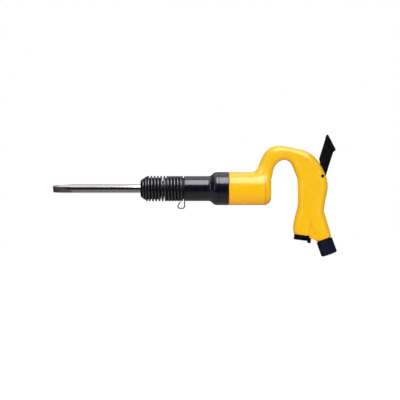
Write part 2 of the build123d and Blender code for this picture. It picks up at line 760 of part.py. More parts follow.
# Throttle spring: from the strainer's flange to the poppet
with BuildPart() as throttle_spring:
    coil_foot = flange_rise + strainer_flange + throttle_wire / 2 + free_gap
    coil_head = seat_rise - seat_gap - poppet_length - throttle_wire / 2 - free_gap
    coil_base = inlet_face + inlet_up * coil_foot
    rise_per_turn = (coil_head - coil_foot) / throttle_turns
    for plane in coil_planes(
        coil_base, inlet_up, throttle_coil_diameter, rise_per_turn, throttle_turns, throttle_runs, 0
    ):
        with BuildSketch(plane):
            RegularPolygon(throttle_wire / 2, throttle_wire_sides)
    loft(ruled=True)

# Exhaust deflector: cap with windows to the front and a lip behind
with BuildPart() as exhaust_deflector:
    cap_foot = -seat_gap - deflector_thickness
    cap_radius = exhaust_leg_diameter / 2
    spigot_radius = exhaust_bore / 2 - seat_gap
    cavity_radius = spigot_radius - deflector_wall
    with BuildSketch(exhaust_plane.offset(cap_foot)):
        Circle(cap_radius)
    extrude(amount=deflector_thickness)
    with BuildSketch(exhaust_plane.offset(-seat_gap)):
        Circle(spigot_radius)
    extrude(amount=deflector_spigot_length)
    with BuildSketch(exhaust_plane.offset(cap_foot - lip_drop)):
        with Locations((0, lip_length / 2 - cap_radius)):
            Rectangle(lip_width, lip_length)
        Circle(cap_radius - seat_gap, mode=Mode.INTERSECT)
    extrude(amount=lip_drop + deflector_floor)
    with BuildSketch(exhaust_plane.offset(cap_foot + deflector_floor)):
        Circle(cavity_radius)
    extrude(amount=deflector_thickness + deflector_spigot_length, mode=Mode.SUBTRACT)
    with BuildSketch(exhaust_plane.offset(cap_foot + deflector_floor)):
        window_spread = deflector_window_step * (deflector_windows - 1)
        with PolarLocations(
            cap_radius, deflector_windows, 90 - window_spread / 2, window_spread, endpoint=True
        ):
            Rectangle(cap_radius, deflector_window_width)
    extrude(amount=deflector_thickness - 2 * deflector_floor, mode=Mode.SUBTRACT)


os.makedirs("parts", exist_ok=True)
pieces = {
    "chisel": chisel,
    "retainer_cup": retainer_cup,
    "retainer_spring": retainer_spring,
    "lock_wire": lock_wire,
    "nozzle_bush": nozzle_bush,
    "barrel": barrel,
    "lock_ring": lock_ring,
    "piston": piston,
    "valve_chest": valve_chest,
    "distributor_valve": distributor_valve,
    "valve_cover": valve_cover,
    "valve_dowels": valve_dowels,
    "head_seal": head_seal,
    "handle": handle,
    "throttle_lever": throttle_lever,
    "lever_pin": lever_pin,
    "throttle_seat": throttle_seat,
    "throttle_valve": throttle_valve,
    "stem_seal": stem_seal,
    "inlet_bushing": inlet_bushing,
    "inlet_seal": inlet_seal,
    "inlet_strainer": inlet_strainer,
    "throttle_spring": throttle_spring,
    "exhaust_deflector": exhaust_deflector,
}
for name, piece in pieces.items():
    piece.part.label = name
    export_step(piece.part, f"parts/{name}.step")
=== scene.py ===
from math import pi, radians, tau

import bmesh
import bpy
from mathutils import Matrix, Vector


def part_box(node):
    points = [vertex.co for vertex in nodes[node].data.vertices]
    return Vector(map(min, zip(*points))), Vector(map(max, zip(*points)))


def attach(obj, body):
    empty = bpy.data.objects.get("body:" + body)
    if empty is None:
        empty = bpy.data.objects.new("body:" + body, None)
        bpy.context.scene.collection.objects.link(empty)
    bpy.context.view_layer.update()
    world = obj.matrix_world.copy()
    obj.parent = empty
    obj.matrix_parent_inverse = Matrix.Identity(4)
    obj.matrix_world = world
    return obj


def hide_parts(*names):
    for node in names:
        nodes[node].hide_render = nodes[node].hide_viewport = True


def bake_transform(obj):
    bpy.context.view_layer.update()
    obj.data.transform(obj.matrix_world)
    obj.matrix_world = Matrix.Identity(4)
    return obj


# Looks of a pneumatic chipping hammer: finishes for its CAD pieces, and the wire and threads that they
# leave plain. Metres, in the frame of the CAD: the chisel points to -X, Z is up, and the camera looks
# along +Y.

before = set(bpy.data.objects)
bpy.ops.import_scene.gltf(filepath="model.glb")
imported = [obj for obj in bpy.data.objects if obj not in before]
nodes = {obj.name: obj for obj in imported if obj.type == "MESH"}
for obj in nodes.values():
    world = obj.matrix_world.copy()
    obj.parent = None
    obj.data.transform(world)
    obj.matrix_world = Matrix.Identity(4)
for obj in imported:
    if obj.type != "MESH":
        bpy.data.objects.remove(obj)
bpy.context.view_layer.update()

# Retainer coil
coil_wire = 0.0016  # radius
coil_pitch = 0.0055
coil_steps = 48  # to a turn
coil_sides = 16
coil_chamfer = 0.0005

# Front turns of the same wire, sunk in the cup's cone
nose_pitch = 0.0047
nose_stops = [(-0.0184, 0.0202), (-0.0276, 0.0143)]  # along X, and the turns' radius there

# Screw lands that hold the coil on the barrel's nose
land_width = 0.0017
land_foot = 0.0182  # radius, just under the barrel's nose
land_top = 0.0212
land_start = 0.01495
land_turns = 4.8
land_chamfer = 0.0003
half_crest = 0.42  # of a land's width
screwed_end = 0.0445  # along X, where the barrel's plain part starts

# Lock wire: a ring, then a loop that drops, turns forward and folds back up
lock_wire = 0.0009  # radius
lock_sides = 12
lock_steps = 96  # round the ring
lock_bend = 0.0032
lock_bend_steps = 8
lock_drop = 0.0336
lock_span = 0.00484
lock_fold = radians(120)
lock_fold_steps = 14
lock_rise = 0.0078
lock_offset = -0.00045
lock_chamfer = 0.0003

# Air inlet, from its mouth
inlet_mouth = Vector((0.291415, 0, -0.111836))
inlet_up = Vector((-0.34202, 0, 0.93969))
inlet_turn = Vector((1, 0, 0)).rotation_difference(inlet_up).to_matrix().to_4x4()
inlet_line = (inlet_mouth, inlet_up)
pipe_radius = 0.0075
pipe_pitch = 0.00134
pipe_ridge = 0.0006
pipe_ridge_width = 0.9  # of the pitch
pipe_root = 0.0001  # how far a ridge stands in the wall
pipe_start = 0.0022
pipe_turns = 11
pipe_steps = 40
pipe_chamfer = 0.0001

# Throttle spring, from the inlet's mouth
throttle_wire = 0.00065  # radius
throttle_radius = 0.0065
throttle_foot = 0.04385
throttle_head = 0.07255
throttle_turns = 6
throttle_steps = 32
throttle_sides = 10
throttle_chamfer = 0.0002

# All the wire and threads
chamfer_steps = 3
weld_distance = 0.000002
sharp_angle = radians(50)

# Chisel's bar and ground flats
bar_radius = 0.00715
flats_start = bar_radius - 0.00002  # the flats lie inside the bar's skin
flats_full = bar_radius - 0.00007
flats_end = -0.1380  # along X
bevel_end = -0.1730
temper_start = -0.163  # dark tempering grows towards the tip
temper_full = -0.1765
tint_start = -0.149  # the flats' dark colour carries on past their edges near the tip, below a height
tint_full = -0.152
tint_low = 0.0026
tint_high = 0.0034

# Handle: crease between the head and the rim at its rear, below the neck. A bump cuts it in, and painted
# shade darkens it.
crease_place = 0.1827  # along X
crease_width = 0.0030  # to each side
crease_depth = 0.0008
neck_foot = 0.014  # along Z, where the crease runs out
neck_side = 0.022

# Handle: parting line of the mould, behind the head
seam_width = 0.0011  # to each side
seam_height = 0.00018
seam_start = 0.186  # along X
seam_full = 0.194

# Handle: paint, and how far ambient occlusion reaches for the painted shade in its hollows and the crease
paint_height = 0.00006
paint_rounding = 0.006
painted_shade_reach = 0.016

# Colours
yellow_light = (0.97, 0.59, 0.005)
yellow_full = (0.95, 0.565, 0.004)
yellow_worn = (0.98, 0.66, 0.08)
# painted shade: the deeper orange that the yellow turns in its hollows and the crease
yellow_painted_shade = (0.80, 0.36, 0.004)
black_dark = (0.0018, 0.0021, 0.0075)
black_light = (0.0032, 0.0038, 0.0120)
black_worn = (0.07, 0.07, 0.072)
lever_tone = (0.0020, 0.0021, 0.0026)
inlet_tone = (0.0036, 0.0044, 0.0120)
satin_worn = (0.03, 0.029, 0.03)
coil_tones = ((0.113, 0.120, 0.145), (0.160, 0.169, 0.200))  # dark and light
lock_tones = ((0.035, 0.034, 0.036), (0.06, 0.058, 0.06))
wire_worn = (0.32, 0.31, 0.30)
dark_steel_tones = ((0.10, 0.10, 0.105), (0.15, 0.15, 0.155))
bright_steel_tones = ((0.50, 0.50, 0.51), (0.60, 0.60, 0.61))
inlet_steel_tones = ((0.48, 0.48, 0.49), (0.58, 0.58, 0.59))
brass_tones = ((0.72, 0.50, 0.20), (0.78, 0.57, 0.26))
bar_dark = (0.73, 0.68, 0.69)
bar_light = (0.78, 0.73, 0.74)
bar_smudged = (0.66, 0.63, 0.615)
flats_tone = (0.31, 0.24, 0.268)
bevel_tone = (0.24, 0.22, 0.23)
temper_tone = (0.15, 0.135, 0.14)
rubber_dark = (0.0018, 0.0019, 0.0021)
rubber_light = (0.0036, 0.0037, 0.004)
cool_sheen = (0.80, 0.90, 1.0, 1.0)
white = (1, 1, 1)

# Camera
view_width = 0.680
view_distance = 3.0
view_centre = Vector((0.0714, 0, -0.0195))
sensor_width = 36.0  # millimetres

# Floor: painted shade darkens its paper to the front and back, and its glow whitens away from the hammer
floor_height = -0.42
floor_size = 9.0
floor_tone = 0.20
floor_painted_shade = 0.01
paper_near = 0.35
paper_far = 1.1
glow_level = 0.62
glow_near = 0.25
glow_far = 0.62

# World: levels from straight down to straight up, and a pale backdrop behind the hammer
studio_levels = [(0.0, 0.40), (0.40, 0.34), (0.45, 0.02), (0.70, 0.02), (0.78, 0.22), (1.0, 0.40)]
backdrop_tone = (0.9, 0.9, 0.9)
backdrop_start = 0.90
backdrop_full = 0.98
sky_fill = (0.46, 0.45, 0.43)

# Lamps: name, elevation, turn, distance, middle along X, size, brightness, mirrored, lit, tone
lamps = [
    ("softbox", 59.0, 0.0, 1.2, 0.34, (0.86, 1.02), 4.4, True, False, white),
    ("softbox_glow", 59.0, 0.0, 1.2, 0.34, (0.86, 1.02), 3.2, False, True, white),
    ("softbox_end", 65.0, 0.0, 1.2, -0.40, (0.62, 0.78), 0.74, True, True, white),
    ("top_box", 107.0, 0.0, 1.2, 0.10, (1.5, 0.85), 0.42, True, True, white),
    ("left_fill", 4.0, -36.0, 2.2, 0.07, (1.2, 1.4), 3.9, False, True, white),
    ("right_fill", 4.0, 36.0, 2.2, 0.07, (1.2, 1.4), 3.9, False, True, white),
    ("under_fill", -88.0, 0.0, 0.40, 0.07, (1.4, 0.9), 0.8, False, True, (1.0, 0.42, 0.26)),
    ("side_strip", 12.0, -51.0, 1.5, 0.24, (0.14, 1.1), 2.2, True, True, white),
    ("back_fill", 8.0, 180.0, 2.2, 0.07, (1.8, 1.4), 0.5, False, True, white),
    ("back_glow", 125.0, 0.0, 1.2, 0.10, (1.5, 0.85), 2.2, False, True, white),
]


# Node helpers

mix_colours = (6, 7)  # sockets of a Mix node that are for colours
mix_result = 2


def add(tree, kind, inputs=None, **settings):
    """Adds a node: a socket among the inputs is linked, anything else is set."""
    made = tree.nodes.new(kind)
    for key, value in settings.items():
        setattr(made, key, value)
    for key, value in (inputs or {}).items():
        if isinstance(value, bpy.types.NodeSocket):
            tree.links.new(value, made.inputs[key])
        else:
            made.inputs[key].default_value = value
    return made


def work_out(tree, operation, first, second=0.0):
    return add(tree, "ShaderNodeMath", {0: first, 1: second}, operation=operation).outputs[0]


def plus(tree, first, second):
    return work_out(tree, "ADD", first, second)


def times(tree, first, second):
    return work_out(tree, "MULTIPLY", first, second)


def spread(tree, value, low, high, to_low=0.0, to_high=1.0):
    """Maps a value from one range to another, with soft ends."""
    ranges = {"Value": value, "From Min": low, "From Max": high, "To Min": to_low, "To Max": to_high}
    return add(tree, "ShaderNodeMapRange", ranges, interpolation_type="SMOOTHSTEP").outputs[0]


def spread_evenly(tree, value, low, high):
    return add(tree, "ShaderNodeMapRange", {"Value": value, "From Min": low, "From Max": high}).outputs[0]


def grain(tree, vector, scale, detail=2.0, roughness=0.5):
    inputs = {"Vector": vector, "Scale": scale, "Detail": detail, "Roughness": roughness}
    return add(tree, "ShaderNodeTexNoise", inputs).outputs["Fac"]


def grain_along(tree, value, detail):
    """Grain that changes with one value only."""
    inputs = {"W": value, "Scale": 1.0, "Detail": detail}
    return add(tree, "ShaderNodeTexNoise", inputs, noise_dimensions="1D").outputs["Fac"]


def split_axes(tree, vector):
    return add(tree, "ShaderNodeSeparateXYZ", {"Vector": vector}).outputs


def reach(tree, vector, axes):
    """Length of a vector, measured along some of the axes only."""
    kept = add(tree, "ShaderNodeVectorMath", {0: vector, 1: axes}, operation="MULTIPLY").outputs[0]
    return add(tree, "ShaderNodeVectorMath", {0: kept}, operation="LENGTH").outputs["Value"]


def tint(tree, mask, first, second):
    """Mixes two colours, either of which may be a socket."""
    mixed = add(tree, "ShaderNodeMix", {"Factor": mask}, data_type="RGBA")
    for place, colour in zip(mix_colours, (first, second)):
        if isinstance(colour, bpy.types.NodeSocket):
            tree.links.new(colour, mixed.inputs[place])
        else:
            mixed.inputs[place].default_value = (*colour, 1)
    return mixed.outputs[mix_result]


def looked_at(tree):
    """1 where the camera sees the surface, directly or through something clear."""
    ray = add(tree, "ShaderNodeLightPath").outputs
    return work_out(tree, "MAXIMUM", ray["Is Camera Ray"], ray["Is Transmission Ray"])


def new_group(name, inputs, outputs):
    """Shader group with a Vector input, number inputs and number outputs."""
    tree = bpy.data.node_groups.new(name, "ShaderNodeTree")
    tree.interface.new_socket("Vector", in_out="INPUT", socket_type="NodeSocketVector")
    for socket, value in inputs:
        made = tree.interface.new_socket(socket, in_out="INPUT", socket_type="NodeSocketFloat")
        made.default_value = value
    for socket in outputs:
        tree.interface.new_socket(socket, in_out="OUTPUT", socket_type="NodeSocketFloat")
    return tree, tree.nodes.new("NodeGroupInput").outputs, tree.nodes.new("NodeGroupOutput").inputs


# Effects that several finishes share

def make_paint_skin():
    """Sprayed paint: fine orange peel, slow waves of the casting, tone drift and patches of haze."""
    tree, given, out = new_group("paint_skin", [("Peel", 700), ("Wave", 90)], ["Height", "Drift", "Haze"])
    peel_share = 0.16
    peel = grain(tree, given["Vector"], given["Peel"], detail=1.0, roughness=0.4)
    wave = grain(tree, given["Vector"], given["Wave"], detail=1.0, roughness=0.4)
    tree.links.new(plus(tree, times(tree, peel, peel_share), wave), out["Height"])
    drift = grain(tree, given["Vector"], scale=26.0)
    tree.links.new(spread(tree, drift, low=0.32, high=0.68), out["Drift"])
    haze = grain(tree, given["Vector"], scale=130.0, detail=4.0, roughness=0.62)
    tree.links.new(spread(tree, haze, low=0.4, high=0.66), out["Haze"])
    return tree


def make_turned_rings():
    """Lathe marks round the X axis: rings along a cylinder, and circles on an end face."""
    tree, given, out = new_group("turned_rings", [("Rings", 1400)], ["Height", "Tone"])
    wander_width = 0.0006
    slow_share = 0.13
    along = split_axes(tree, given["Vector"])["X"]
    run_on = plus(tree, along, reach(tree, given["Vector"], (0, 1, 1)))
    wander = times(tree, grain(tree, given["Vector"], scale=40.0), wander_width)
    turn = times(tree, plus(tree, run_on, wander), given["Rings"])
    tree.links.new(grain_along(tree, turn, detail=2.0), out["Height"])
    slow = grain_along(tree, times(tree, turn, slow_share), detail=1.0)
    tree.links.new(spread(tree, slow, low=0.3, high=0.7), out["Tone"])
    return tree


def make_handling():
    """Marks of use: soft finger smudges, and hair scratches in two directions."""
    tree, given, out = new_group("handling", [("Size", 55)], ["Smudge", "Scratch"])
    smudge = grain(tree, given["Vector"], given["Size"], detail=5.0, roughness=0.6)
    tree.links.new(spread(tree, smudge, low=0.42, high=0.68), out["Smudge"])
    lean = 0.3
    hairs = []
    for turn, stretch in ((0.5, (30, 900, 900)), (-0.9, (900, 40, 700))):
        place = {"Vector": given["Vector"], "Rotation": (lean, turn, turn), "Scale": stretch}
        drawn = add(tree, "ShaderNodeMapping", place).outputs[0]
        hairs.append(spread(tree, grain(tree, drawn, scale=1.0, detail=1.0), low=0.66, high=0.74))
    tree.links.new(work_out(tree, "MAXIMUM", *hairs), out["Scratch"])
    return tree


paint_skin = make_paint_skin()
turned_rings = make_turned_rings()
handling = make_handling()


# Steps that the finishes share

def start_finish(name, along=None):
    """Material with a Principled shader, and Object coordinates, turned so that +X runs along a line."""
    made = bpy.data.materials.new(name)
    made.use_nodes = True
    tree = made.node_tree
    shader = tree.nodes["Principled BSDF"]
    place = add(tree, "ShaderNodeTexCoord").outputs["Object"]
    if along is not None:
        origin, direction = along
        turn = direction.rotation_difference(Vector((1, 0, 0)))
        shift = -(turn @ origin)
        inputs = {"Vector": place, "Location": shift, "Rotation": turn.to_euler()}
        place = add(tree, "ShaderNodeMapping", inputs).outputs[0]
    return made, tree, shader, place


def effect(tree, group, place, **values):
    made = add(tree, "ShaderNodeGroup", node_tree=group)
    tree.links.new(place, made.inputs["Vector"])
    for key, value in values.items():
        made.inputs[key].default_value = value
    return made.outputs


def show_through(tree, mask, body, under, share):
    """Lets a share of the colour under the body's show where the mask is."""
    return tint(tree, times(tree, mask, share), body, under)


def roughness(tree, mask, low, high, extra, amount):
    """Roughness from low to high over one mask, and an amount more over another."""
    return plus(tree, spread(tree, mask, 0, 1, low, high), times(tree, extra, amount))


def raise_surface(tree, shader, height, depth, softened=0.0):
    """Bump: depth is how many metres a height of 1 stands out. Edges look rounded to a radius."""
    bump = add(tree, "ShaderNodeBump", {"Distance": depth, "Height": height})
    if softened:
        rounded = add(tree, "ShaderNodeBevel", {"Radius": softened}, samples=8)
        tree.links.new(rounded.outputs[0], bump.inputs["Normal"])
    tree.links.new(bump.outputs[0], shader.inputs["Normal"])


def settle(shader, **values):
    for key, value in values.items():
        shader.inputs[key.replace("_", " ")].default_value = value


# Finishes

def crease_mask(tree, split):
    """1 in the crease behind the head, below the neck."""
    off_crease = work_out(tree, "ABSOLUTE", work_out(tree, "SUBTRACT", split["X"], crease_place))
    below_neck = spread(tree, split["Z"], neck_foot, neck_side, 1.0, 0.0)
    return times(tree, spread(tree, off_crease, 0.0, crease_width, 1.0, 0.0), below_neck)


def seam_rise(tree, split):
    """Height of the parting line, in metres."""
    off_middle = work_out(tree, "ABSOLUTE", split["Y"])
    ridge = spread(tree, off_middle, 0.0, seam_width, 1.0, 0.0)
    cast = spread(tree, split["X"], seam_start, seam_full)
    return times(tree, times(tree, ridge, cast), seam_height)


def painted_shade_mask(tree, crease):
    """Painted shade: strongest in the casting's hollows, found by ambient occlusion, and in the crease.
    """
    most = 0.8
    reached = {"Distance": painted_shade_reach}
    open_to = add(tree, "ShaderNodeAmbientOcclusion", reached, samples=6, only_local=True).outputs["AO"]
    occlusion_shade = spread(tree, open_to, low=0.9, high=0.4, to_high=most)
    return work_out(tree, "MAXIMUM", occlusion_shade, times(tree, crease, most))


def yellow_enamel():
    """Glossy enamel on the handle's casting, with the mould's parting line, and painted shade in its
    hollows and the crease.
    """
    made, tree, shader, place = start_finish("yellow_enamel")
    skin = effect(tree, paint_skin, place, Peel=750.0, Wave=85.0)
    marks = effect(tree, handling, place, Size=48.0)
    split = split_axes(tree, place)
    crease = crease_mask(tree, split)
    body = tint(tree, skin["Drift"], yellow_light, yellow_full)
    faded = show_through(tree, marks["Scratch"], body, yellow_worn, share=0.35)
    # painted shade: the yellow turns deeper orange in the hollows and the crease
    with_painted_shade = tint(tree, painted_shade_mask(tree, crease), faded, yellow_painted_shade)
    tree.links.new(with_painted_shade, shader.inputs["Base Color"])
    rough = roughness(tree, skin["Haze"], low=0.24, high=0.33, extra=marks["Smudge"], amount=0.07)
    tree.links.new(rough, shader.inputs["Roughness"])
    forms = work_out(tree, "SUBTRACT", seam_rise(tree, split), times(tree, crease, crease_depth))
    height = plus(tree, times(tree, skin["Height"], paint_height), forms)
    raise_surface(tree, shader, height, depth=1.0, softened=paint_rounding)
    settle(shader, Specular_IOR_Level=0.3, Coat_Weight=1.0, Coat_Roughness=0.15, Coat_IOR=1.5)
    return made


def black_enamel():
    """Glossy black on turned steel, with the lathe's rings faint under it. The screwed nose is dull."""
    made, tree, shader, place = start_finish("black_enamel")
    turned = effect(tree, turned_rings, place, Rings=1100.0)
    skin = effect(tree, paint_skin, place, Peel=800.0, Wave=70.0)
    marks = effect(tree, handling, place, Size=60.0)
    body = tint(tree, turned["Tone"], black_dark, black_light)
    faded = show_through(tree, marks["Scratch"], body, black_worn, share=0.3)
    tree.links.new(faded, shader.inputs["Base Color"])
    bare = work_out(tree, "LESS_THAN", split_axes(tree, place)["X"], screwed_end)
    bare_roughness = 0.35
    rough = roughness(tree, skin["Haze"], low=0.17, high=0.23, extra=marks["Smudge"], amount=0.06)
    dulled = plus(tree, rough, times(tree, bare, bare_roughness))
    tree.links.new(dulled, shader.inputs["Roughness"])
    tree.links.new(work_out(tree, "SUBTRACT", 1.0, bare), shader.inputs["Coat Weight"])
    skin_share = 0.8
    height = plus(tree, turned["Height"], times(tree, skin["Height"], skin_share))
    raise_surface(tree, shader, height, depth=0.000014)
    settle(shader, Coat_Roughness=0.13, Coat_IOR=1.5)
    return made


def oiled_wire(name, tones):
    """Spring wire with a film of oil."""
    made, tree, shader, place = start_finish(name)
    marks = effect(tree, handling, place, Size=140.0)
    skin = effect(tree, paint_skin, place, Peel=1600.0, Wave=260.0)
    body = tint(tree, skin["Drift"], *tones)
    faded = show_through(tree, marks["Scratch"], body, wire_worn, share=0.5)
    tree.links.new(faded, shader.inputs["Base Color"])
    rough = spread(tree, marks["Smudge"], 0, 1, to_low=0.15, to_high=0.27)
    tree.links.new(rough, shader.inputs["Roughness"])
    raise_surface(tree, shader, skin["Height"], depth=0.00002)
    settle(shader, Metallic=0.95, Coat_Weight=0.35, Coat_Roughness=0.12)
    return made


def ground_steel():
    """Bare chisel: ground bar, flats darkened by heat, a darker wedge past them near the tip, and a
    bevelled edge.
    """
    made, tree, shader, place = start_finish("ground_steel")
    turned = effect(tree, turned_rings, place, Rings=1500.0)
    marks = effect(tree, handling, place, Size=26.0)
    split = split_axes(tree, place)
    cut_in = spread(tree, reach(tree, place, (0, 1, 1)), flats_start, flats_full)
    flats = times(tree, cut_in, work_out(tree, "LESS_THAN", split["X"], flats_end))
    bevel = times(tree, work_out(tree, "LESS_THAN", split["X"], bevel_end), flats)
    # darker wedge: the flats' colour carries on round the bar below a height, towards the tip
    tipward = spread(tree, split["X"], tint_start, tint_full)
    run_past = times(tree, tipward, spread(tree, split["Z"], tint_high, tint_low))
    bar = tint(tree, turned["Tone"], bar_dark, bar_light)
    dull = show_through(tree, marks["Smudge"], bar, bar_smudged, share=0.4)
    darkened = work_out(tree, "MAXIMUM", flats, run_past)
    blade = show_through(tree, darkened, dull, flats_tone, share=0.95)
    tip = tint(tree, bevel, blade, bevel_tone)
    temper = spread(tree, split["X"], temper_start, temper_full, to_high=0.85)
    tree.links.new(tint(tree, temper, tip, temper_tone), shader.inputs["Base Color"])
    rough = roughness(tree, marks["Smudge"], low=0.10, high=0.14, extra=flats, amount=0.2)
    tree.links.new(rough, shader.inputs["Roughness"])
    raise_surface(tree, shader, turned["Height"], depth=0.000003)
    settle(shader, Metallic=1.0)
    return made


def satin_black(name, along=None, tone=lever_tone, smooth=0.30, sheen=0.25):
    """Satin black on a forging: a fine scale under the paint, and rubbed patches."""
    made, tree, shader, place = start_finish(name, along)
    skin = effect(tree, paint_skin, place, Peel=1300.0, Wave=240.0)
    marks = effect(tree, handling, place, Size=95.0)
    lift = 2.0
    haze_roughness = 0.1
    body = tint(tree, skin["Drift"], tone, tuple(part * lift for part in tone))
    faded = show_through(tree, marks["Scratch"], body, satin_worn, share=0.4)
    tree.links.new(faded, shader.inputs["Base Color"])
    hazy = smooth + haze_roughness
    rough = roughness(tree, skin["Haze"], smooth, hazy, extra=marks["Smudge"], amount=0.1)
    tree.links.new(rough, shader.inputs["Roughness"])
    raise_surface(tree, shader, skin["Height"], depth=0.00008)
    settle(shader, Specular_IOR_Level=sheen, Specular_Tint=cool_sheen)
    return made


def turned_metal(name, tones, smooth, along=None):
    """Bare turned metal of the inner pieces, with oil stains."""
    made, tree, shader, place = start_finish(name, along)
    turned = effect(tree, turned_rings, place, Rings=2200.0)
    marks = effect(tree, handling, place, Size=120.0)
    stain_share = 0.55
    stain_roughness = 0.16
    dark, light = tones
    body = tint(tree, turned["Tone"], dark, light)
    stain = tuple(part * stain_share for part in light)
    stained = show_through(tree, marks["Smudge"], body, stain, share=0.6)
    tree.links.new(stained, shader.inputs["Base Color"])
    rough = spread(tree, marks["Smudge"], 0, 1, to_low=smooth, to_high=smooth + stain_roughness)
    tree.links.new(rough, shader.inputs["Roughness"])
    raise_surface(tree, shader, turned["Height"], depth=0.00005)
    settle(shader, Metallic=1.0)
    return made


def seal_rubber():
    """Moulded rubber with a bloom of dust."""
    made, tree, shader, place = start_finish("seal_rubber")
    skin = effect(tree, paint_skin, place, Peel=2100.0, Wave=420.0)
    body = tint(tree, skin["Haze"], rubber_dark, rubber_light)
    tree.links.new(body, shader.inputs["Base Color"])
    rough = spread(tree, skin["Drift"], 0, 1, to_low=0.48, to_high=0.62)
    tree.links.new(rough, shader.inputs["Roughness"])
    raise_surface(tree, shader, skin["Height"], depth=0.0001)
    settle(shader, Specular_IOR_Level=0.11, Specular_Tint=cool_sheen)
    return made


black_paint = black_enamel()
seat_black = satin_black("seat_black", smooth=0.5, sheen=0.12)
coil_finish = oiled_wire("coil_wire", coil_tones)
lock_finish = oiled_wire("lock_wire", lock_tones)
dark_steel = turned_metal("dark_steel", dark_steel_tones, smooth=0.30)
bright_steel = turned_metal("bright_steel", bright_steel_tones, smooth=0.20)
inlet_brass = turned_metal("inlet_brass", brass_tones, smooth=0.24, along=inlet_line)
inlet_steel = turned_metal("inlet_steel", inlet_steel_tones, smooth=0.22, along=inlet_line)
rubber = seal_rubber()

finishes = {
    yellow_enamel(): ["handle"],
    black_paint: ["barrel", "lock_ring"],
    seat_black: ["retainer_cup"],
    coil_finish: ["retainer_spring", "throttle_spring"],
    lock_finish: ["lock_wire"],
    ground_steel(): ["chisel"],
    satin_black("lever_black"): ["throttle_lever", "lever_pin"],
    satin_black("inlet_black", inlet_line, inlet_tone): ["inlet_bushing"],
    dark_steel: ["nozzle_bush"],
    bright_steel: ["piston", "valve_chest", "distributor_valve", "valve_cover", "valve_dowels"],
    inlet_steel: ["throttle_valve"],
    inlet_brass: ["throttle_seat", "inlet_strainer"],
    rubber: ["exhaust_deflector", "head_seal", "stem_seal", "inlet_seal"],
}
for finish, names in finishes.items():
    for name in names:
        nodes[name].data.materials.clear()
        nodes[name].data.materials.append(finish)


# Wire and threads

def wire_ring(bm, centre, along, radius, sides):
    """Round section of a wire, square to the way it runs. Gives the section's edges."""
    face_along = Vector(along).to_track_quat("Z", "Y").to_matrix().to_4x4()
    place = Matrix.Translation(centre) @ face_along
    made = bmesh.ops.create_circle(bm, cap_ends=False, segments=sides, radius=radius, matrix=place)
    return list(dict.fromkeys(edge for vert in made["verts"] for edge in vert.link_edges))


def land_section(bm, start, foot, top, width):
    """Section of a screw land that stands on the near side of the X axis. Gives its edges."""
    corners = ((-0.5, foot), (-half_crest, top), (half_crest, top), (0.5, foot))
    verts = [bm.verts.new((start + share * width, -radius, 0)) for share, radius in corners]
    return [bm.edges.new((verts[place - 1], verts[place])) for place in range(len(verts))]


def wind(bm, edges, pitch, turns, steps):
    """Winds a section round the X axis as a right-hand screw."""
    count = round(steps * turns)
    bmesh.ops.spin(
        bm, geom=edges, cent=(0, 0, 0), axis=(1, 0, 0), dvec=(pitch * turns / count, 0, 0),
        angle=tau * turns, steps=count,
    )


def new_verts(made):
    return [part for part in made if isinstance(part, bmesh.types.BMVert)]


def open_rim(made):
    return [part for part in made if isinstance(part, bmesh.types.BMEdge) and part.is_boundary]


def run(bm, edges, way):
    """Draws a wire's section on in a straight line."""
    made = bmesh.ops.extrude_edge_only(bm, edges=edges)["geom"]
    bmesh.ops.translate(bm, verts=new_verts(made), vec=way)
    return open_rim(made)


def bend(bm, edges, centre, angle, steps):
    """Draws a wire's section on round a bend in the XZ plane."""
    made = bmesh.ops.spin(
        bm, geom=edges, cent=centre, axis=(0, 1, 0), dvec=(0, 0, 0), angle=angle, steps=steps
    )["geom_last"]
    return open_rim(made)


def close_ends(bm, chamfer):
    """Caps a wire's open ends and rounds the rims of the caps."""
    open_edges = [edge for edge in bm.edges if edge.is_boundary]
    caps = bmesh.ops.holes_fill(bm, edges=open_edges, sides=0)["faces"]
    rims = list(dict.fromkeys(edge for face in caps for edge in face.edges))
    bmesh.ops.bevel(
        bm, geom=rims, offset=chamfer, affect="EDGES", segments=chamfer_steps, profile=0.5, material=-1
    )


def make_piece(name, bm, finish):
    """Turns a bmesh into a smooth piece with its finish."""
    bmesh.ops.remove_doubles(bm, verts=bm.verts, dist=weld_distance)
    bmesh.ops.recalc_face_normals(bm, faces=bm.faces)
    mesh = bpy.data.meshes.new(name)
    bm.to_mesh(mesh)
    bm.free()
    mesh.shade_smooth()
    mesh.set_sharp_from_angle(angle=sharp_angle)
    mesh.materials.append(finish)
    piece = bpy.data.objects.new(name, mesh)
    bpy.context.scene.collection.objects.link(piece)
    return piece


def make_coil():
    """Retainer coil: it starts behind the cup's rim, and is attached to the housing."""
    low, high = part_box("retainer_spring")
    start, radius = low.x + coil_wire, high.z - coil_wire
    turns = (high.x - low.x - 2 * coil_wire) / coil_pitch
    bm = bmesh.new()
    ring = wire_ring(bm, (start, -radius, 0), (0, 0, 1), coil_wire, coil_sides)
    wind(bm, ring, coil_pitch, turns, coil_steps)
    close_ends(bm, coil_chamfer)
    piece = make_piece("retainer_coil", bm, coil_finish)
    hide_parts("retainer_spring")
    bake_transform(piece)
    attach(piece, "housing")


def nose_radius(place, stops):
    """Radius of the front turns at a place along X, between the stops."""
    for (rear, wide), (front, narrow) in zip(stops, stops[1:]):
        if place >= front:
            return wide + (narrow - wide) * (rear - place) / (rear - front)
    return stops[-1][1]


